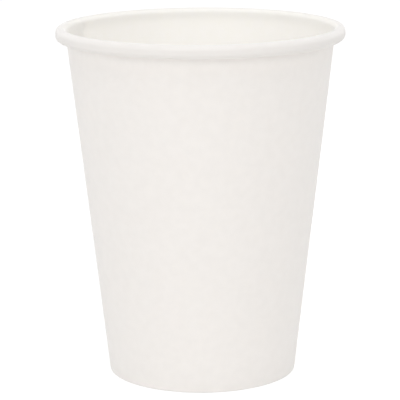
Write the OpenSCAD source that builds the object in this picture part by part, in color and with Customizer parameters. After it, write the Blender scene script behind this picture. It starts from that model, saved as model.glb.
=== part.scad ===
// Paper hot drink cup, about 350 ml, with no lid and no sleeve.
// It is two pieces of coated board. The side wall is a fan-shaped blank wrapped into a cone and
// lapped along one side. Its top edge is rolled outward into the rim, and its bottom edge is
// folded in and up as a lip. The bottom is a disc with its edge turned down into a skirt, which
// the wall and the lip hold between them.
// Origin: centre of the foot, on the table. +Z is up.

/* [Cup] */
// Height from the table to the top of the rim
cup_h = 110; // [80:1:160]
// Outside diameter of the rolled rim, which takes a standard lid
rim_d = 90; // [76:0.5:110]
// Outside diameter of the wall, carried straight down to the table
base_d = 59; // [40:0.5:74]

/* [Board] */
// Thickness of the board of the side wall
wall_t = 0.4; // [0.25:0.05:0.6]
// Thickness of the board of the bottom disc
disc_t = 0.35; // [0.2:0.05:0.6]

/* [Rolled rim] */
// Width of the roll's section
roll_w = 3.5; // [2.8:0.1:5]
// Height of the upright face on the outside of the roll
roll_flat = 0.9; // [0.3:0.1:2]
// Air between the turns of the roll
roll_gap = 0.15; // [0.1:0.05:0.3]
// How far the hidden end of the board curls on past one full turn, in degrees
roll_end = 100; // [20:10:140]

/* [Side seam] */
// Width of the overlap
lap_w = 7; // [4:0.5:12]
// Length over which the outer ply climbs over the inner ply's edge
ramp_w = 2.5; // [1.5:0.5:4]
// Direction of the seam around the cup, in degrees from +X
seam_at = 155; // [0:5:355]

/* [Foot] */
// Height of the underside of the bottom disc above the table
recess_h = 7.5; // [7:0.5:15]
// Height of the lip inside the foot
lip_h = 6; // [3:0.5:6.5]
// Inside radius of the two creases under the foot
crease_r = 0.04; // [0.02:0.02:0.1]
// Inside radius where the disc turns down into its skirt
skirt_r = 0.6; // [0.3:0.1:1]
// Space between the skirt's edge and the folded board below it
skirt_clear = 0.4; // [0.2:0.1:2]
// Coating left between the skirt and each board that it is sealed to
seal_t = 0.02; // [0.01:0.01:0.05]

/* [Hidden] */
$fn = 96;
board_white = [0.93, 0.92, 0.90];
lining_white = [0.95, 0.94, 0.90];
bend_step = 10;

// Sections are drawn with x as the radius and y as the height. The roll's upper bends share one
// centre, and the wall leaves them as a straight line to its outer edge at the table.
roll_c = [rim_d / 2 - roll_w / 2, cup_h - roll_w / 2];
base_edge = [base_d / 2, 0];
roll_in_r = roll_w / 2 - wall_t;
wall_run = sqrt(pow(norm(roll_c - base_edge), 2) - pow(roll_in_r, 2));
slant = atan2(roll_c.x - base_edge.x, roll_c.y) - asin(roll_in_r / norm(roll_c - base_edge));
up_wall = [sin(slant), cos(slant)];

// Radius, at height z, of a surface that lies parallel to the wall's outside and inset from it
function wall_r(z, inset = 0) = base_d / 2 + z * tan(slant) - inset / cos(slant);

// A bend is [centre, centreline radius, first angle, last angle, turn], where turn is 1 to the
// left and -1 to the right. Straight runs join each bend to the next.
function bend_angles(b) = b[3] == b[2] ? [b[2]] : concat(b[2], inner_angles(b[2], b[3]), b[3]);
function inner_angles(from, to) = from < to
    ? [for (i = [floor(from / bend_step) + 1:ceil(to / bend_step) - 1]) i * bend_step]
    : reversed(inner_angles(to, from));
function bend_side(b, left) = [for (a = bend_angles(b)) b[0] + (b[1] - left * b[4]) * [cos(a), sin(a)]];
function board_side(bends, left) = [for (b = bends) each bend_side(b, left)];
function reversed(list) = [for (i = [len(list) - 1:-1:0]) list[i]];

// Section of a board of thickness t that runs through the bends
module board(bends, t) {
    polygon(concat(board_side(bends, t / 2), reversed(board_side(bends, -t / 2))));
}

// The foot holds the skirt between the wall and the lip
slot_w = disc_t + 2 * seal_t;
crease_mid = crease_r + wall_t / 2;
crease_out = crease_r + wall_t;
outer_crease = [wall_r(crease_out, crease_out), crease_out];
foot_flat = (wall_t + slot_w - 2 * crease_mid) / cos(slant);
inner_crease = outer_crease - [foot_flat, 0];
lip_run = (lip_h - crease_out) / cos(slant);
lip_in = 2 * wall_t + slot_w;

// The roll's lower bend brings the board back beside the wall, one gap away from it
roll_mid = roll_w / 2 - wall_t / 2;
ply_pitch = wall_t + roll_gap;
lower_mid = roll_mid - (ply_pitch - roll_flat * sin(slant)) / (1 + cos(slant));
lower_c = roll_c + [roll_mid - lower_mid, -roll_flat];

side_wall_bends = [
    [inner_crease + lip_run * up_wall, crease_mid, 180 - slant, 180 - slant, 1],
    [inner_crease, crease_mid, 180 - slant, 270, 1],
    [outer_crease, crease_mid, 270, 360 - slant, 1],
    [roll_c, roll_mid, 180 - slant, 0, -1],
    [lower_c, lower_mid, 0, -180 - slant, -1],
    [roll_c, roll_mid - ply_pitch, 180 - slant, 180 - slant - roll_end, -1],
];

// The seam is drawn beside the wall: x out of the wall, y around the cup, z up along the wall
lap_low = crease_out;
lap_high = wall_run - 0.3;
gap_low = 2 * crease_out;
gap_high = wall_run - 0.6;
lip_lap_high = lip_run - 0.3;
ramp_sag = ramp_w * ramp_w / base_d;
reach = 2;

module along_seam(low, high) {
    rotate([0, 0, seam_at]) translate([base_d / 2, 0, 0]) rotate([0, slant, 0])
        translate([0, 0, low]) linear_extrude(high - low) children();
}

// Cone that lies parallel to the wall's outside, inset from it
module cone(inset) {
    cylinder(h = cup_h, r1 = wall_r(0, inset), r2 = wall_r(cup_h, inset));
}

// Between two cones, which have insets from the wall's outside
module shell(outer, inner) {
    difference() {
        cone(outer);
        translate([0, 0, -1]) cylinder(h = cup_h + 2, r1 = wall_r(-1, inner), r2 = wall_r(cup_h + 1, inner));
    }
}

// Point at y on the straight ramp that rises from the board's face to lift at y = 0
function ramp(y, lift, face_drop) = [lift + (lift + face_drop) * y / ramp_w, y];

// Outer ply of the lap, with the ramp that brings it over the inner ply's edge
module wall_lap() {
    intersection() {
        shell(-wall_t, wall_t / 2);
        along_seam(lap_low, lap_high) polygon([
            ramp(-ramp_w - 1, wall_t, ramp_sag),
            ramp(reach, wall_t, ramp_sag),
            [reach, lap_w],
            [-reach, lap_w],
            [-reach, -ramp_w - 1],
        ]);
    }
}

// Thin space beside the inner ply's edge, under the ramp
module lap_gap() {
    along_seam(gap_low, gap_high) polygon([
        [0, 0],
        ramp(-ramp_w - 1, wall_t, ramp_sag) - [wall_t, 0],
        [-wall_t - slot_w / 2, 0],
    ]);
}

// The lap goes on over the inside of the lip, pressed flat where the board is creased
module lip_lap() {
    intersection() {
        shell(lip_in - wall_t / 2, lip_in + wall_t);
        along_seam(lap_low, lip_lap_high) translate([-lip_in, 0]) polygon([
            [-wall_t / 2, -ramp_w - 1],
            ramp(-ramp_w, 0, ramp_sag),
            [-wall_t - ramp_sag, 0],
            [-reach, 1],
            [-reach, lap_w],
            [reach, lap_w],
            [reach, -ramp_w - 1],
        ]);
    }
}

module side_wall() {
    color(board_white) difference() {
        union() {
            rotate_extrude() board(side_wall_bends, wall_t);
            wall_lap();
            lip_lap();
        }
        lap_gap();
    }
}

// The disc is turned down inside the wall, and its skirt follows the wall's slant
skirt_mid = skirt_r + disc_t / 2;
skirt_c_z = recess_h + disc_t / 2 - skirt_mid;
skirt_c = [wall_r(skirt_c_z, wall_t + seal_t + skirt_r + disc_t), skirt_c_z];
skirt_low = wall_t + skirt_clear;
skirt_run = (skirt_c.y - skirt_mid * sin(slant) - skirt_low) / cos(slant);
disc_bends = [
    [[0, skirt_c.y], skirt_mid, 90, 90, -1],
    [skirt_c, skirt_mid, 90, -slant, -1],
    [skirt_c - skirt_run * up_wall, skirt_mid, -slant, -slant, -1],
];

module bottom_disc() {
    color(lining_white) rotate_extrude() board(disc_bends, disc_t);
}

side_wall();
bottom_disc();
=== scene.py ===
# %% [markdown]
# # A paper cup for hot drinks
# The cup is two pieces of coated paperboard. A fan-shaped blank is wrapped into a cone, its top edge is
# rolled outward into the rim, and its bottom edge is folded in and up as a lip. A round blank with its edge
# turned down is the bottom, and the wall and its lip hold that edge between them.
# The imported solids give the frame: metres, +Z up, and the origin under the middle of the foot. Nothing is
# fitted by eye, so each size below is the one that the solids were made from.

# %% The frame, and the box of the wall's solid
import math

import bpy
from mathutils import Matrix, Vector


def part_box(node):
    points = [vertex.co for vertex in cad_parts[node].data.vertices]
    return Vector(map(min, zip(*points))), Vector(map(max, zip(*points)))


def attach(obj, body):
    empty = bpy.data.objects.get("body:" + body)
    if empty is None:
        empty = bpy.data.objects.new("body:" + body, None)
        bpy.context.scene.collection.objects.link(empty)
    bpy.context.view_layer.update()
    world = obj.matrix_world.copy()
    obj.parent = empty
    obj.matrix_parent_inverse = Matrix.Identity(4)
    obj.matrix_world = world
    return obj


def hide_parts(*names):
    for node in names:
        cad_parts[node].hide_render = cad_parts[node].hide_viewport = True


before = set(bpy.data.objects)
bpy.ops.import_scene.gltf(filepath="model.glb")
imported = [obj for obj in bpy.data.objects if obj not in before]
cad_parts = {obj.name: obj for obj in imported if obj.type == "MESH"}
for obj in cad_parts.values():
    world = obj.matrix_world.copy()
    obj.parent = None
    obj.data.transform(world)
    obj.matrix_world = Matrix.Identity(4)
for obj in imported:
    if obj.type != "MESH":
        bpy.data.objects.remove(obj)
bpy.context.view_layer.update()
MM = 0.001
wall_low, wall_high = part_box("side_wall")
cup_height = wall_high.z
rim_radius = min(-wall_low.x, -wall_low.y, wall_high.x, wall_high.y)
print(f"the solids: {len(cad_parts)} nodes, rim radius {rim_radius / MM:.2f} mm, "
      f"height {cup_height / MM:.2f} mm")

# %% [markdown]
# ## One function for every node
# Geometry node trees and materials are both trees of nodes. One small function adds a node, sets its
# properties and fills its inputs, by name or in order. An input takes a plain value, another node's output,
# or a node, which then stands for its first output in use.

# %% Adding a node
MATH, SPLIT, JOIN = "ShaderNodeMath", "ShaderNodeSeparateXYZ", "ShaderNodeCombineXYZ"


def add(tree, kind, inputs=(), **settings):
    """Adds a node with its settings and links. Its inputs are a dictionary by name, or a list in order."""
    node = tree.nodes.new(kind)
    for name, value in settings.items():
        setattr(node, name, value)
    in_use = [socket for socket in node.inputs if socket.enabled]
    by_name = {socket.name: socket for socket in reversed(in_use)}
    pairs = inputs.items() if isinstance(inputs, dict) else enumerate(inputs)
    for key, value in pairs:
        socket = by_name[key] if isinstance(key, str) else in_use[key]
        if isinstance(value, bpy.types.Node):
            value = next(output for output in value.outputs if output.enabled)
        if isinstance(value, bpy.types.NodeSocket):
            tree.links.new(value, socket)
        else:
            socket.default_value = value
    return node


def linear(hex_colour):
    """The linear colour, with full alpha, of an sRGB hex colour."""
    shares = [int(hex_colour[i:i + 2], 16) / 255 for i in (1, 3, 5)]
    return [*(s / 12.92 if s <= 0.04045 else ((s + 0.055) / 1.055) ** 2.4 for s in shares), 1.0]


# %% [markdown]
# ## The camera of the photograph
# The photograph looks slightly down on the cup from about 65 cm away, with a long lens. The place and the
# focal length come from the outline: the spread of the rim's ellipse against that of the foot gives the
# distance, and the height of both ellipses gives the downward angle. The camera was also held a third of a
# degree out of level, so its own axes are written out and turned by that roll.

# %% The camera
CAMERA_DISTANCE = 646.9 * MM
CAMERA_HEIGHT = 197.3 * MM
CAMERA_PITCH, CAMERA_YAW, CAMERA_ROLL = math.radians(12.460), math.radians(-0.040), math.radians(-0.376)
IMAGE_SIDE = 400
FOCAL_PIXELS = 2095.8

camera_data = bpy.data.cameras.new("photo_camera")
camera_data.sensor_width = 36
camera_data.lens = FOCAL_PIXELS * camera_data.sensor_width / IMAGE_SIDE
camera = bpy.data.objects.new("photo_camera", camera_data)
bpy.context.scene.collection.objects.link(camera)
ahead = Vector((math.sin(CAMERA_YAW) * math.cos(CAMERA_PITCH),
                math.cos(CAMERA_YAW) * math.cos(CAMERA_PITCH),
                -math.sin(CAMERA_PITCH)))
level = Vector((math.cos(CAMERA_YAW), -math.sin(CAMERA_YAW), 0))
upward = level.cross(ahead)
right = math.cos(CAMERA_ROLL) * level + math.sin(CAMERA_ROLL) * upward
top = math.cos(CAMERA_ROLL) * upward - math.sin(CAMERA_ROLL) * level
turned = Matrix((right, top, -ahead)).transposed().to_4x4()
camera.matrix_world = Matrix.Translation((0, -CAMERA_DISTANCE, CAMERA_HEIGHT)) @ turned
bpy.context.scene.camera = camera
print(f"camera: {camera_data.lens:.1f} mm lens, {CAMERA_DISTANCE / MM:.0f} mm in front")

# %% [markdown]
# ## The path of the board
# Cut in half, the wall is one line of board 0.4 mm thick. It starts at the lip's top edge, runs down, turns
# twice under the foot, climbs the cone, and rolls over at the rim into a spiral of a little more than one
# turn. That line is all arcs joined by straight runs, so a list of arcs says everything, and the drawing is
# exact however small the arcs are. The same function draws the line of the bottom.

# %% Arcs and straight runs
def arc(centre, radius, first, last, step=10):
    """Points (radius, height, direction) of an arc, where the direction is in degrees."""
    count = max(1, math.ceil(abs(last - first) / step))
    angles = [first + (last - first) * i / count for i in range(count + 1)] if last != first else [first]
    return [(centre[0] + radius * math.cos(math.radians(a)),
             centre[1] + radius * math.sin(math.radians(a)), a) for a in angles]


def run(start, end, shares):
    """Points between the end of one arc and the start of the next, at shares of the way."""
    return [(start[0] + (end[0] - start[0]) * s, start[1] + (end[1] - start[1]) * s, start[2])
            for s in shares]


# %% Sizes of the wall's section
WALL_T = 0.4 * MM
DISC_T = 0.35 * MM
SEAL_T = 0.02 * MM
BASE_RADIUS = 29.5 * MM
ROLL_WIDTH = 3.5 * MM
ROLL_FLAT = 0.9 * MM
ROLL_GAP = 0.15 * MM
ROLL_END = 100
LIP_HEIGHT = 6 * MM
CREASE_R = 0.04 * MM
LAP_WIDTH = 7 * MM

roll_centre = (rim_radius - ROLL_WIDTH / 2, cup_height - ROLL_WIDTH / 2)
lean = math.hypot(roll_centre[0] - BASE_RADIUS, roll_centre[1])
slant = (math.atan2(roll_centre[0] - BASE_RADIUS, roll_centre[1])
         - math.asin((ROLL_WIDTH / 2 - WALL_T) / lean))
tilt = math.degrees(slant)
up_wall = (math.sin(slant), math.cos(slant))


def wall_radius(height, inset=0.0):
    """Radius, at a height, of a surface that lies inside the wall's outer face by the inset."""
    return BASE_RADIUS + height * math.tan(slant) - inset / math.cos(slant)


print(f"the wall leans {tilt:.3f} degrees outward")

# %% [markdown]
# ## Where the seam is pressed
# The blank overlaps itself by 7 mm along the seam. Over the cone and the lip the outer ply climbs over the
# edge of the inner one. Under the foot the board is creased flat, and at the rim the corner of the outer
# ply is trimmed away so that the roll isn't doubled, and a small step stays across the rim. So each point of
# the line carries two shares: how much of the overlap is there, and how much of the climb. Where the corner
# is trimmed, the two edges of the blank stay a hair apart, so they never lie in the same place.

# %% The wall's line, from the lip to the end of the roll
EDGE_GAP = 0.056 * MM
STEP_AT_RIM = 0.7
NO_LAP = -EDGE_GAP / LAP_WIDTH
LAPPED, PRESSED, ROLLED = (1.0, 1.0), (NO_LAP, 0.0), (NO_LAP, STEP_AT_RIM)
LAP_ABOVE_CREASE, LAP_BELOW_ROLL, TRIM_BELOW_ROLL = 0.5 * MM, 1.95 * MM, 1.35 * MM
WALL_ROWS = 30

slot_w = DISC_T + 2 * SEAL_T
crease_mid, crease_out = CREASE_R + WALL_T / 2, CREASE_R + WALL_T
outer_crease = (wall_radius(crease_out, crease_out), crease_out)
foot_flat = (WALL_T + slot_w - 2 * crease_mid) / math.cos(slant)
inner_crease = (outer_crease[0] - foot_flat, crease_out)
lip_run = (LIP_HEIGHT - crease_out) / math.cos(slant)
lip_top = (inner_crease[0] + lip_run * up_wall[0], inner_crease[1] + lip_run * up_wall[1])
roll_mid = ROLL_WIDTH / 2 - WALL_T / 2
ply_pitch = WALL_T + ROLL_GAP
lower_mid = roll_mid - (ply_pitch - ROLL_FLAT * math.sin(slant)) / (1 + math.cos(slant))
lower_centre = (roll_centre[0] + roll_mid - lower_mid, roll_centre[1] - ROLL_FLAT)

lip_end = arc(lip_top, crease_mid, 180 - tilt, 180 - tilt)
inner_turn = arc(inner_crease, crease_mid, 180 - tilt, 270, 15)
outer_turn = arc(outer_crease, crease_mid, 270, 360 - tilt, 15)
upper_roll = arc(roll_centre, roll_mid, 180 - tilt, 0)
lower_roll = arc(lower_centre, lower_mid, 0, -180 - tilt)
curl = arc(roll_centre, roll_mid - ply_pitch, -180 - tilt, -180 - tilt - ROLL_END, 12)

wall_run = math.dist(outer_turn[-1][:2], upper_roll[0][:2])
lap_from, lap_to = LAP_ABOVE_CREASE / wall_run, 1 - LAP_BELOW_ROLL / wall_run
trimmed_from = 1 - TRIM_BELOW_ROLL / wall_run
lip_shares = [0.15, 0.4, 0.65, 0.9]
wall_shares = [lap_from + (lap_to - lap_from) * i / WALL_ROWS for i in range(WALL_ROWS + 1)]

wall_line = [(p, 1, LAPPED) for p in lip_end + run(lip_end[0], inner_turn[0], lip_shares)]
wall_line += [(p, 1, PRESSED) for p in inner_turn + outer_turn]
wall_line += [(p, 1, LAPPED) for p in run(outer_turn[-1], upper_roll[0], wall_shares)]
wall_line += [(p, 1, ROLLED) for p in run(outer_turn[-1], upper_roll[0], [trimmed_from])]
wall_line += [(p, -1, ROLLED) for p in upper_roll + lower_roll + curl]
print(f"the wall's line has {len(wall_line)} points")


# %% [markdown]
# ## Handing a line to Geometry Nodes
# The line becomes a mesh of points and edges in the XZ plane. Whatever a node tree needs to know at a point
# rides along as a named attribute: the direction of the board's bleached side, the distance along the
# board, and the two shares of the seam.

# %% A line as a mesh with attributes
def line_object(name, points, sides, shares):
    """A chain of points (radius, height) with the side that the board faces there, and named shares."""
    mesh = bpy.data.meshes.new(name)
    mesh.from_pydata([(p[0], 0, p[1]) for p in points], [(i, i + 1) for i in range(len(points) - 1)], [])
    facing = mesh.attributes.new("side", "FLOAT_VECTOR", "POINT")
    facing.data.foreach_set("vector", [value for side in sides for value in (side[0], 0, side[1])])
    lengths = [0.0]
    for before, after in zip(points, points[1:]):
        lengths.append(lengths[-1] + math.dist(before[:2], after[:2]))
    for title, values in {"along": lengths, **shares}.items():
        mesh.attributes.new(title, "FLOAT", "POINT").data.foreach_set("value", values)
    made = bpy.data.objects.new(name, mesh)
    bpy.context.scene.collection.objects.link(made)
    return made


def facing_side(point, turn):
    """Unit vector of an arc's outside where the path turns left, and of its inside where it turns right."""
    return (turn * math.cos(math.radians(point[2])), turn * math.sin(math.radians(point[2])))


def between(low, high, value):
    """How far a value is from low to high, as a share from 0 to 1."""
    return min(1.0, max(0.0, (value - low) / (high - low)))


FREE_ABOVE_FOOT, FREE_BELOW_RIM = (4 * MM, 25 * MM), (104 * MM, 85 * MM)


def free_share(height):
    """How freely the wall may bow at a height: not at all at the foot and the rim, fully in between."""
    return between(*FREE_ABOVE_FOOT, height) * between(*FREE_BELOW_RIM, height)


wall_blank = line_object(
    "side_wall_board",
    [p for p, _, _ in wall_line],
    [facing_side(p, turn) for p, turn, _ in wall_line],
    {"lap": [state[0] for _, _, state in wall_line],
     "climb": [state[1] for _, _, state in wall_line],
     "free": [free_share(p[1]) for p, _, _ in wall_line]},
)
board_length = wall_blank.data.attributes["along"].data[-1].value
print(f"the board is {board_length / MM:.1f} mm long from the lip's edge to the end inside the roll")


# %% [markdown]
# ## What every board surface shares
# The pattern in a board was there before it was wrapped, so each material reads the flat blank's own map,
# with one unit of the map for one feature of the real size. Board only 0.4 mm thick also lets light seep
# through: an empty cup glows a little inside, where the light comes through its wall. Subsurface scattering
# with a length near that thickness gives this. The glow is strong inside and hardly shows outside, so each
# side has its own length, matched to the photograph, and the roll, where the board lies several plies deep,
# has one between them.

# %% The blank's map, and the light in the board
SEEP_OUTSIDE, SEEP_INSIDE, SEEP_ROLL = 0.2 * MM, 0.65 * MM, 0.35 * MM
LIGHT_IN_BOARD = {"Subsurface Weight": 0.9, "Subsurface Radius": (1, 1, 1)}


def new_material(name):
    """An empty node material, and its tree."""
    material = bpy.data.materials.new(name)
    material.use_nodes = True
    material.node_tree.nodes.clear()
    return material, material.node_tree


def board_map(tree, size_across, size_along):
    """Flat blank coordinates, so that one unit is one feature of the given size."""
    place = add(tree, "ShaderNodeUVMap", uv_map="flat_blank")
    return add(tree, "ShaderNodeVectorMath", [place, (1 / size_across, 1 / size_along, 1)],
               operation="MULTIPLY")


# %% [markdown]
# ## Near the roll
# Both faces of the board change a little where it is rolled. The blank is part of a ring, so in its map the
# distance from the ring's middle says how far along the board a point lies. One function turns that into a
# value that changes between two such distances, counted from where the roll begins.

# %% A value that changes near the roll
roll_points = len(upper_roll + lower_roll + curl)
roll_along = wall_blank.data.attributes["along"].data[len(wall_line) - roll_points].value
roll_start = BASE_RADIUS / math.sin(slant) + roll_along
print(f"the roll begins {roll_along / MM:.1f} mm along the board")


def near_roll(tree, first, last, low, high):
    """Goes from low to high between two distances along the board, counted from where the roll begins."""
    place = add(tree, "ShaderNodeUVMap", uv_map="flat_blank")
    blank_radius = add(tree, "ShaderNodeVectorMath", [place], operation="LENGTH")
    return add(tree, "ShaderNodeMapRange", {
        "Value": blank_radius, "From Min": roll_start + first, "From Max": roll_start + last,
        "To Min": low, "To Max": high})


# %% [markdown]
# ## Paperboard, outside
# Cup board is bleached white board of about 300 g per square metre. Its outside has no plastic on it:
# matte, faintly cloudy where the fibres lie thicker or thinner, and finely grained along the way the web
# ran. A flat white would look like plaster. The cloudiness is 3 mm across. The fibres are 0.03 mm wide, too
# fine to show, so their relief is drawn at 0.3 mm. Just under the roll, in its shade, the light that seeps
# out of the bright cup is what shows, so the length there is that of the inside.

# %% The outside of the board
CLOUD_SIZE = 3 * MM
FIBRE_WIDTH, FIBRE_LENGTH = 0.3 * MM, 1.3 * MM
FIBRE_RELIEF = 0.006 * MM
LONG_SEEP_FROM, LONG_SEEP_TO = -7.5 * MM, -4.5 * MM  # along the board, from where the roll begins

bleached_board, tree = new_material("bleached_cup_board")
cloud = add(tree, "ShaderNodeTexNoise", {"Vector": board_map(tree, CLOUD_SIZE, CLOUD_SIZE),
                                         "Scale": 1, "Detail": 3}, noise_dimensions="2D")
cloud = add(tree, "ShaderNodeMapRange", {"Value": cloud, "From Min": 0.3, "From Max": 0.7})
colour = add(tree, "ShaderNodeMix", {"Factor": cloud, "A": linear("#eeebe8"), "B": linear("#f0edea")},
             data_type="RGBA")
roughness = add(tree, "ShaderNodeMapRange", {"Value": cloud, "To Min": 0.64, "To Max": 0.7})
fibre = add(tree, "ShaderNodeTexNoise", {"Vector": board_map(tree, FIBRE_WIDTH, FIBRE_LENGTH),
                                         "Scale": 1, "Detail": 4, "Roughness": 0.6}, noise_dimensions="2D")
relief = add(tree, "ShaderNodeBump", {"Height": fibre, "Distance": FIBRE_RELIEF, "Strength": 0.2})
seep = near_roll(tree, LONG_SEEP_FROM, LONG_SEEP_TO, SEEP_OUTSIDE, SEEP_INSIDE)
shader = add(tree, "ShaderNodeBsdfPrincipled", {
    **LIGHT_IN_BOARD, "Subsurface Scale": seep, "IOR": 1.47, "Base Color": colour,
    "Roughness": roughness, "Normal": relief})
add(tree, "ShaderNodeOutputMaterial", {"Surface": shader})
print("material:", bleached_board.name)

# %% [markdown]
# ## The lined side
# The side that meets the drink has a film of polyethylene a few hundredths of a millimetre thick, melted on
# in the mill. It gives a soft, low gloss and follows the fibres only gently. Light that bounces about inside
# the cup meets the board several times, which is why the depth of a white cup looks cream. The rim is
# rolled outward, so the rim shows this side too. Over the roll the colour is painted darker, as painted
# shade that tones down the light the roll catches, and light goes less far in the board there.

# %% The polyethylene lining
FILM_SIZE = 1.6 * MM
FILM_RELIEF = 0.015 * MM
ROLL_SHADE_FROM, ROLL_SHADE_TO = 0.7 * MM, 2.0 * MM  # along the board, from where the roll begins
SHORT_SEEP_FROM, SHORT_SEEP_TO = -4 * MM, -1 * MM

lined_board, tree = new_material("polyethylene_lined_board")
cloud = add(tree, "ShaderNodeTexNoise", {"Vector": board_map(tree, CLOUD_SIZE, CLOUD_SIZE),
                                         "Scale": 1, "Detail": 2}, noise_dimensions="2D")
cloud = add(tree, "ShaderNodeMapRange", {"Value": cloud, "From Min": 0.3, "From Max": 0.7})
colour = add(tree, "ShaderNodeMix", {"Factor": cloud, "A": linear("#fdf8f1"), "B": linear("#fef9f3")},
             data_type="RGBA")
# Painted shade: over the roll the lining's colour goes to a darker grey, to tone down the light that the
# roll catches
roll_shade_share = near_roll(tree, ROLL_SHADE_FROM, ROLL_SHADE_TO, 0, 1)
colour = add(tree, "ShaderNodeMix", {"Factor": roll_shade_share, "A": colour, "B": linear("#eae7e4")},
             data_type="RGBA")
seep = near_roll(tree, SHORT_SEEP_FROM, SHORT_SEEP_TO, SEEP_INSIDE, SEEP_ROLL)
roughness = add(tree, "ShaderNodeMapRange", {"Value": cloud, "To Min": 0.5, "To Max": 0.58})
film = add(tree, "ShaderNodeTexNoise", {"Vector": board_map(tree, FILM_SIZE, FILM_SIZE),
                                        "Scale": 1, "Detail": 2}, noise_dimensions="2D")
relief = add(tree, "ShaderNodeBump", {"Height": film, "Distance": FILM_RELIEF, "Strength": 0.4})
shader = add(tree, "ShaderNodeBsdfPrincipled", {
    **LIGHT_IN_BOARD, "Subsurface Scale": seep, "IOR": 1.5, "Specular IOR Level": 0.3,
    "Base Color": colour, "Roughness": roughness, "Normal": relief})
add(tree, "ShaderNodeOutputMaterial", {"Surface": shader})
print("material:", lined_board.name)

# %% [markdown]
# ## The cut edge
# A die cut leaves the board's own fibres open: dead matte, a little darker than either face, and layered,
# because board is made of several plies of pulp pressed together.

# %% The raw fibre of a cut
PLY_SIZE = 0.12 * MM
PLY_RELIEF = 0.03 * MM

cut_board, tree = new_material("cut_board_fibre")
place = add(tree, "ShaderNodeTexCoord")
plies = add(tree, "ShaderNodeTexNoise",
            {"Vector": place.outputs["Object"], "Scale": 1 / PLY_SIZE, "Detail": 3})
plies = add(tree, "ShaderNodeMapRange", {"Value": plies, "From Min": 0.3, "From Max": 0.7})
colour = add(tree, "ShaderNodeMix", {"Factor": plies, "A": linear("#dfdad0"), "B": linear("#ece8df")},
             data_type="RGBA")
relief = add(tree, "ShaderNodeBump", {"Height": plies, "Distance": PLY_RELIEF, "Strength": 0.6})
shader = add(tree, "ShaderNodeBsdfPrincipled", {
    **LIGHT_IN_BOARD, "Subsurface Scale": SEEP_OUTSIDE, "IOR": 1.47, "Roughness": 0.95,
    "Base Color": colour, "Normal": relief})
add(tree, "ShaderNodeOutputMaterial", {"Surface": shader})
print("material:", cut_board.name)


# %% [markdown]
# ## Wrapping a blank
# The shape of each board follows one rule: a line, carried around the axis. A spin would close the ring and
# lose the seam. So a tree makes a flat grid, with one row for each point of the line and one column for
# each place around, and moves each point to where the wrapped board has it. What both boards need comes
# first: a tree with named inputs, the grid, an attribute of the line read at each row, and a place around
# the axis.

# %% Geometry Nodes: parts that the trees share
def new_tree(name, numbers):
    """A geometry node tree with a mesh in and out, a material, and numbers with their names."""
    tree = bpy.data.node_groups.new(name, "GeometryNodeTree")
    tree.interface.new_socket("Geometry", in_out="INPUT", socket_type="NodeSocketGeometry")
    for title, value in numbers.items():
        kind = "NodeSocketInt" if isinstance(value, int) else "NodeSocketFloat"
        tree.interface.new_socket(title, in_out="INPUT", socket_type=kind)
    tree.interface.new_socket("Material", in_out="INPUT", socket_type="NodeSocketMaterial")
    tree.interface.new_socket("Geometry", in_out="OUTPUT", socket_type="NodeSocketGeometry")
    return tree, tree.nodes.new("NodeGroupInput").outputs


def end_tree(tree, given, geometry):
    """Makes what was built real, gives it the material and sends it out."""
    solid = add(tree, "GeometryNodeRealizeInstances", {"Geometry": geometry})
    finished = add(tree, "GeometryNodeSetMaterial", {"Geometry": solid, "Material": given["Material"]})
    add(tree, "NodeGroupOutput", {"Geometry": finished})
    print(f"{tree.name}: {len(tree.nodes)} nodes")


def grid_of_rows(tree, line, columns):
    """A grid with a row for each point of the line, and the row and column of each of its points."""
    rows = add(tree, "GeometryNodeAttributeDomainSize", {"Geometry": line})
    grid = add(tree, "GeometryNodeMeshGrid",
               {"Size X": 1, "Size Y": 1, "Vertices X": columns, "Vertices Y": rows})
    index = add(tree, "GeometryNodeInputIndex")
    row = add(tree, MATH, [index, rows], operation="MODULO")
    column = add(tree, MATH, [add(tree, MATH, [index, rows], operation="DIVIDE")], operation="FLOOR")
    return grid, row, column


def on_line(tree, line, row, title, kind="FLOAT"):
    """A named attribute of the line, read at each row of the grid."""
    attribute = add(tree, "GeometryNodeInputNamedAttribute", {"Name": title}, data_type=kind)
    return add(tree, "GeometryNodeSampleIndex",
               {"Geometry": line, "Value": attribute, "Index": row}, data_type=kind)


def around_axis(tree, turn, radius, height=0.0):
    """The place at a turn, a radius and a height around the cup's axis."""
    cosine = add(tree, MATH, [turn], operation="COSINE")
    sine = add(tree, MATH, [turn], operation="SINE")
    return add(tree, JOIN, [add(tree, MATH, [cosine, radius], operation="MULTIPLY"),
                            add(tree, MATH, [sine, radius], operation="MULTIPLY"), height])


def wrap_grid(tree, line, row, grid, turn, push, blank_place):
    """The grid wrapped around the axis and pushed out of the line's side, with the blank's map on it."""
    point = add(tree, SPLIT, [on_line(tree, line, row, "position", "FLOAT_VECTOR")])
    side = add(tree, SPLIT, [on_line(tree, line, row, "side", "FLOAT_VECTOR")])
    out = add(tree, MATH, [side.outputs["X"], push, point.outputs["X"]], operation="MULTIPLY_ADD")
    height = add(tree, MATH, [side.outputs["Z"], push, point.outputs["Z"]], operation="MULTIPLY_ADD")
    # The map belongs to the faces' corners, but its values are those of the points at them
    at_points = add(tree, "GeometryNodeFieldOnDomain", [blank_place], data_type="FLOAT_VECTOR",
                    domain="POINT")
    mapped = add(tree, "GeometryNodeStoreNamedAttribute",
                 {"Geometry": grid.outputs["Mesh"], "Name": "flat_blank", "Value": at_points},
                 data_type="FLOAT2", domain="CORNER")
    place = around_axis(tree, turn, out, height)
    return add(tree, "GeometryNodeSetPosition", {"Geometry": mapped, "Position": place})


# %% [markdown]
# ## The wall's own tree
# Past one full turn the wall's columns go on over the start of the blank: up a short ramp, then along the
# overlap, one board's thickness further out. The distance around, and not the angle, sets the overlap, so
# it is 7 mm wide at the foot and at the rim alike.

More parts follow.
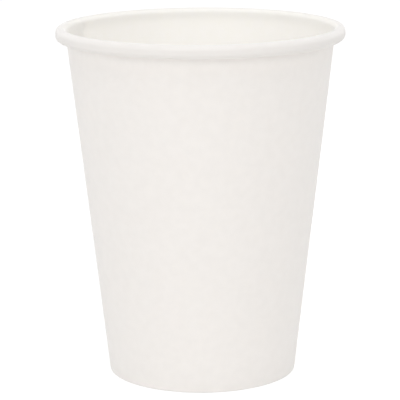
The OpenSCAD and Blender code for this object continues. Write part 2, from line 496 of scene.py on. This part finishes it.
# %% Geometry Nodes: board wrapped with a seam
AIR_IN_LAP = 0.01 * MM
wall_sizes = {
    "Columns": 300,
    "Seam columns": 26,
    "Lap width": LAP_WIDTH,
    "Ramp length": 2.5 * MM,
    "Climb": WALL_T + AIR_IN_LAP,
    "Seam direction": math.radians(155),
    "Bow": 0.12 * MM,
    "Bow size": 45 * MM,
    "Seed": 4.0,
    "Blank radius": BASE_RADIUS / math.sin(slant),
    "Blank turn": math.sin(slant),
}
tree, given = new_tree("board_wrapped_with_a_seam", wall_sizes)
line = given["Geometry"]
columns = add(tree, MATH, [given["Columns"], given["Seam columns"]], operation="ADD")
grid, row, column = grid_of_rows(tree, line, add(tree, MATH, [columns, 1], operation="ADD"))
point = add(tree, SPLIT, [on_line(tree, line, row, "position", "FLOAT_VECTOR")])
radius = point.outputs["X"]

# The distance around: single board up to the foot of the ramp, then the ramp and the overlap
once_around = add(tree, MATH, [radius, 2 * math.pi], operation="MULTIPLY")
single = add(tree, MATH, [once_around, given["Ramp length"]], operation="SUBTRACT")
single_share = add(tree, MATH, [column, given["Columns"]], operation="DIVIDE", use_clamp=True)
past_columns = add(tree, MATH, [column, given["Columns"]], operation="SUBTRACT")
seam_share = add(tree, MATH, [past_columns, given["Seam columns"]], operation="DIVIDE", use_clamp=True)
seam_run = add(tree, MATH, [given["Lap width"], on_line(tree, line, row, "lap"), given["Ramp length"]],
               operation="MULTIPLY_ADD")
past_single = add(tree, MATH, [seam_share, seam_run], operation="MULTIPLY")
around = add(tree, MATH, [single, single_share, past_single], operation="MULTIPLY_ADD")
turn = add(tree, MATH, [add(tree, MATH, [around, radius], operation="DIVIDE"), given["Seam direction"]],
           operation="ADD")

# The outer ply climbs smoothly over the ramp
ramp_share = add(tree, "ShaderNodeMapRange", {"Value": past_single, "From Max": given["Ramp length"]},
                 interpolation_type="SMOOTHSTEP")
climb = add(tree, MATH, [on_line(tree, line, row, "climb"), given["Climb"]], operation="MULTIPLY")
lift = add(tree, MATH, [ramp_share, climb], operation="MULTIPLY")

# The wall bows by a tenth of a millimetre here and there, both plies of the seam alike
low_height = add(tree, MATH, [point.outputs["Z"], 0.5], operation="MULTIPLY")
wave = add(tree, "ShaderNodeTexNoise", {
    "Vector": around_axis(tree, turn, radius, low_height), "W": given["Seed"], "Detail": 0,
    "Scale": add(tree, MATH, [1, given["Bow size"]], operation="DIVIDE")}, noise_dimensions="4D")
wave = add(tree, MATH, [wave, 2, -1], operation="MULTIPLY_ADD")
free_bow = add(tree, MATH, [on_line(tree, line, row, "free"), given["Bow"]], operation="MULTIPLY")
push = add(tree, MATH, [wave, free_bow, lift], operation="MULTIPLY_ADD")

# The flat blank is part of a ring, so its map has the ring's radius and its much smaller angle
blank_out = add(tree, MATH, [given["Blank radius"], on_line(tree, line, row, "along")], operation="ADD")
from_seam = add(tree, MATH, [turn, given["Seam direction"]], operation="SUBTRACT")
from_middle = add(tree, MATH, [from_seam, math.pi], operation="SUBTRACT")
blank_turn = add(tree, MATH, [from_middle, given["Blank turn"], math.pi / 2], operation="MULTIPLY_ADD")
blank_place = around_axis(tree, blank_turn, blank_out)
end_tree(tree, given, wrap_grid(tree, line, row, grid, turn, push, blank_place))
wall_tree = tree


# %% [markdown]
# ## From a tree to a plain mesh
# The modifier is only a tool here. Its inputs are set by each socket's identifier, before the object is
# looked at for the first time, and the evaluated result is copied into a plain mesh. A sheet then gets its
# thickness from Solidify, half to each side of the line. Solidify also gives the far face and the cut edges
# their own material slots.

# %% Running a tree, and giving a sheet its thickness
SHARP_ANGLE = math.radians(40)


def run_tree(made, tree, numbers, material):
    """Runs a tree on an object and leaves the result as the object's own plain mesh."""
    modifier = made.modifiers.new("made_by", "NODES")
    modifier.node_group = tree
    for item in tree.interface.items_tree:
        if item.in_out == "INPUT" and item.name in numbers:
            modifier[item.identifier] = numbers[item.name]
        elif item.in_out == "INPUT" and item.name == "Material":
            modifier[item.identifier] = material
    keep_evaluated(made)


def keep_evaluated(made):
    """Replaces an object's mesh by its evaluated one, and removes its modifiers."""
    made.update_tag()
    bpy.context.view_layer.update()
    evaluated = made.evaluated_get(bpy.context.evaluated_depsgraph_get())
    plain = bpy.data.meshes.new_from_object(evaluated)
    made.modifiers.clear()
    made.data = plain


def thicken(made, thickness, far_side, edges):
    """Makes a sheet a board, with its own material on the far face and one on the cut edges."""
    made.data.materials.append(far_side)
    made.data.materials.append(edges)
    solidify = made.modifiers.new("thickness", "SOLIDIFY")
    solidify.thickness = thickness
    solidify.offset = 0
    solidify.use_even_offset = True
    solidify.material_offset = 1
    solidify.material_offset_rim = 2
    keep_evaluated(made)
    made.data.shade_smooth()
    made.data.set_sharp_from_angle(angle=SHARP_ANGLE)
    print(f"{made.name}: {len(made.data.vertices)} points, {len(made.data.polygons)} faces")


run_tree(wall_blank, wall_tree, wall_sizes, bleached_board)
thicken(wall_blank, WALL_T, lined_board, cut_board)

# %% [markdown]
# ## The bottom
# The bottom is a round blank whose edge is turned down into a skirt 6 mm deep. Board can't shrink at its
# edge, so a rounded fold puckers it in fine pleats, which die away a few millimetres in. Its line goes from
# the middle to the skirt's lower edge. The same kind of tree carries it around, and merges the first and
# last columns and the points at the middle, so that the seam and the pole are closed.

# %% The bottom's line
RECESS_HEIGHT = 7.5 * MM
SKIRT_R = 0.6 * MM
SKIRT_CLEAR = 0.4 * MM
FLAT_RADII = [0, 3, 7, 11, 15, 18, 20, 22, 24, 25.5, 26.7, 27.7]
PLEATS_FROM, PLEATS_FULL = 22 * MM, 28 * MM

skirt_mid = SKIRT_R + DISC_T / 2
skirt_z = RECESS_HEIGHT + DISC_T / 2 - skirt_mid
skirt_centre = (wall_radius(skirt_z, WALL_T + SEAL_T + SKIRT_R + DISC_T), skirt_z)
skirt_run = (skirt_z - skirt_mid * math.sin(slant) - WALL_T - SKIRT_CLEAR) / math.cos(slant)
skirt_foot = (skirt_centre[0] - skirt_run * up_wall[0], skirt_centre[1] - skirt_run * up_wall[1])
flat = [(radius * MM, skirt_z + skirt_mid, 90) for radius in FLAT_RADII]
fold = arc(skirt_centre, skirt_mid, 90, -tilt, 12)
skirt_end = arc(skirt_foot, skirt_mid, -tilt, -tilt)
skirt = run(fold[-1], skirt_end[0], [0.3, 0.6]) + skirt_end
disc_line = flat + fold + skirt

pucker = [between(PLEATS_FROM, PLEATS_FULL, p[0]) ** 2 for p in flat]
pucker += [between(-tilt, 90, p[2]) for p in fold] + [0.0] * len(skirt)
disc_blank = line_object("bottom_disc_board", disc_line, [facing_side(p, 1) for p in disc_line],
                         {"pucker": pucker})
print(f"the bottom's fold is at radius {skirt_centre[0] / MM:.2f} mm")

# %% Geometry Nodes: a round blank with a puckered fold
MERGE_DISTANCE = 0.001 * MM
disc_sizes = {
    "Columns": 288,
    "Pleat size": 1.5 * MM,
    "Pleat depth": 0.09 * MM,
    "Seed": 9.0,
}
tree, given = new_tree("round_blank_with_a_fold", disc_sizes)
line = given["Geometry"]
columns = add(tree, MATH, [given["Columns"], 1], operation="ADD")
grid, row, column = grid_of_rows(tree, line, columns)
column_share = add(tree, MATH, [column, given["Columns"]], operation="DIVIDE")
turn = add(tree, MATH, [column_share, 2 * math.pi], operation="MULTIPLY")

# The pleats only press the board inward, because the wall is right beside the fold
pleats = add(tree, "ShaderNodeTexNoise", {
    "Vector": around_axis(tree, turn, skirt_centre[0]), "W": given["Seed"], "Detail": 1,
    "Scale": add(tree, MATH, [1, given["Pleat size"]], operation="DIVIDE")}, noise_dimensions="4D")
depth = add(tree, MATH, [on_line(tree, line, row, "pucker"), given["Pleat depth"]], operation="MULTIPLY")
depth = add(tree, MATH, [pleats, depth], operation="MULTIPLY")
push = add(tree, MATH, [0, depth], operation="SUBTRACT")

blank_place = around_axis(tree, turn, on_line(tree, line, row, "along"))
moved = wrap_grid(tree, line, row, grid, turn, push, blank_place)
closed = add(tree, "GeometryNodeMergeByDistance", {"Geometry": moved, "Distance": MERGE_DISTANCE})
end_tree(tree, given, closed)
run_tree(disc_blank, tree, disc_sizes, lined_board)
thicken(disc_blank, DISC_T, bleached_board, cut_board)

# %% [markdown]
# ## The knurl inside the foot
# The last station of a cup machine rolls a toothed wheel around the inside of the foot, to press the hot
# lip against the skirt. It leaves short upright ridges all the way round, seen only from below. They
# repeat and follow a surface, so each is one small rounded bar, placed where a ray from the axis meets the
# lip. That way they ride over the lap as well, with nothing measured by hand.

# %% Geometry Nodes: ridges pressed around the lip
ridge_sizes = {
    "Ridges": 96,
    "Ring height": 3.1 * MM,
    "Ridge length": 4.4 * MM,
    "Ridge width": 0.95 * MM,
    "Ridge depth": 0.16 * MM,
    "Lean": slant,
}
tree, given = new_tree("ridges_pressed_around_the_lip", ridge_sizes)
circle = add(tree, "GeometryNodeMeshCircle", {"Vertices": given["Ridges"], "Radius": BASE_RADIUS / 2})
raised = add(tree, "GeometryNodeTransform", {
    "Geometry": circle, "Translation": add(tree, JOIN, {"Z": given["Ring height"]})})
index = add(tree, "GeometryNodeInputIndex")
ridge_share = add(tree, MATH, [index, given["Ridges"]], operation="DIVIDE")
turn = add(tree, MATH, [ridge_share, 2 * math.pi], operation="MULTIPLY")
ray = add(tree, "GeometryNodeRaycast", {
    "Target Geometry": given["Geometry"], "Ray Direction": around_axis(tree, turn, 1),
    "Ray Length": BASE_RADIUS})
seated = add(tree, "GeometryNodeSetPosition", {"Geometry": raised, "Position": ray.outputs["Hit Position"]})
ball = add(tree, "GeometryNodeMeshUVSphere", {"Segments": 8, "Rings": 6, "Radius": 0.5})
shape = add(tree, JOIN, [given["Ridge depth"], given["Ridge width"], given["Ridge length"]])
ridge = add(tree, "GeometryNodeTransform", {"Geometry": ball.outputs["Mesh"], "Scale": shape})
stance = add(tree, "FunctionNodeEulerToRotation", [add(tree, JOIN, {"Y": given["Lean"], "Z": turn})])
ridges = add(tree, "GeometryNodeInstanceOnPoints",
             {"Points": seated, "Instance": ridge, "Rotation": stance})
end_tree(tree, given, ridges)

knurl = bpy.data.objects.new("foot_knurl", wall_blank.data.copy())
bpy.context.scene.collection.objects.link(knurl)
run_tree(knurl, tree, ridge_sizes, bleached_board)
knurl.data.shade_smooth()
print(f"foot_knurl: {len(knurl.data.polygons)} faces in {ridge_sizes['Ridges']} ridges")

# %% [markdown]
# ## What each piece stands for
# Every piece rides on the cup's one body. The two boards take the place of the two solids that they were
# drawn from.

# %% Riding and replacing
for piece, slot_name in ((wall_blank, "coated_board"), (disc_blank, "lined_board"), (knurl, "coated_board")):
    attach(piece, "root")
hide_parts("side_wall")
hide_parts("bottom_disc")
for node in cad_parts.values():
    low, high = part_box(node.name)
    print(f"{node.name}: {low.z / MM:.2f} to {high.z / MM:.2f} mm high")

# %% [markdown]
# ## Floor, lamps and world
# The photograph is a white cut-out picture: white all round, with broad light from above and both sides,
# and just enough shade on the right to show the curve. Two small lamps behind the cup send light through
# its wall, so that its inside glows. The floor and the world are white only to the camera, and to gloss
# that mirrors them. For lighting they are an ordinary pale studio, so the white around the cup adds no
# light to it. A little of the floor's own shading stays in the camera's view, which keeps the soft shadow
# under the cup.

# %% The floor
FLOOR_SIDE = 12.0
FLOOR_SHADING, FLOOR_GLOW = 0.3, 0.78


def seen_directly(tree):
    """1 for what the camera sees, straight or by gloss or glass, and 0 for what lights the object."""
    path = add(tree, "ShaderNodeLightPath")
    seen = add(tree, MATH, [path.outputs["Is Camera Ray"], path.outputs["Is Glossy Ray"]],
               operation="MAXIMUM")
    return add(tree, MATH, [seen, path.outputs["Is Transmission Ray"]], operation="MAXIMUM")


half = FLOOR_SIDE / 2
floor_mesh = bpy.data.meshes.new("studio_floor")
floor_mesh.from_pydata([(-half, -half, 0), (half, -half, 0), (half, half, 0), (-half, half, 0)], [],
                       [(0, 1, 2, 3)])
floor = bpy.data.objects.new("studio_floor", floor_mesh)
bpy.context.scene.collection.objects.link(floor)

floor_paint, tree = new_material("pale_studio_floor")
for_light = add(tree, "ShaderNodeBsdfDiffuse", {"Color": linear("#fbfaf9")})
shaded = add(tree, "ShaderNodeBsdfDiffuse", {"Color": (*[FLOOR_SHADING] * 3, 1)})
glow = add(tree, "ShaderNodeEmission", {"Color": (1, 1, 1, 1), "Strength": FLOOR_GLOW})
for_camera = add(tree, "ShaderNodeAddShader", [shaded, glow])
surface = add(tree, "ShaderNodeMixShader", [seen_directly(tree), for_light, for_camera])
add(tree, "ShaderNodeOutputMaterial", {"Surface": surface})
floor_mesh.materials.append(floor_paint)
print(f"floor: {FLOOR_SIDE:.0f} m square")

# %% The world
WORLD_STRENGTH = 0.58

world = bpy.data.worlds.new("pale_studio")
bpy.context.scene.world = world
world.use_nodes = True
tree = world.node_tree
tree.nodes.clear()
strength = add(tree, "ShaderNodeMix", {"Factor": seen_directly(tree), "A": WORLD_STRENGTH, "B": 1.0},
               data_type="FLOAT")
sky = add(tree, "ShaderNodeBackground", {"Color": (1, 1, 1, 1), "Strength": strength})
add(tree, "ShaderNodeOutputWorld", {"Surface": sky})
print(f"world: strength {WORLD_STRENGTH}")

# %% The lamps
LAMP_DISTANCE = 1.2
cup_middle = Vector((0, 0, cup_height / 2))


def softbox(name, to_right, upward, side, watts):
    """A square lamp that faces the cup, from degrees to the right of the camera and above the floor."""
    data = bpy.data.lights.new(name, "AREA")
    data.shape, data.size, data.energy = "SQUARE", side, watts
    lamp = bpy.data.objects.new(name, data)
    bpy.context.scene.collection.objects.link(lamp)
    across, up = math.radians(to_right), math.radians(upward)
    from_cup = Vector((math.cos(up) * math.sin(across), -math.cos(up) * math.cos(across), math.sin(up)))
    lamp.location = cup_middle + LAMP_DISTANCE * from_cup
    lamp.rotation_euler = from_cup.to_track_quat("Z", "Y").to_euler()
    print(f"{name}: {watts} W, {side} m square")


softbox("front_softbox", 0, 55, 1.6, 9.6)
softbox("left_softbox", -50, 15, 1.0, 0.9)
softbox("back_left_softbox", -130, 25, 0.8, 1.8)
softbox("back_right_softbox", 130, 25, 0.8, 2.1)

# %% [markdown]
# ## View, and the end
# Standard view shows colours as they are written.

# %% View settings, and the end
bpy.context.scene.view_settings.view_transform = "Standard"
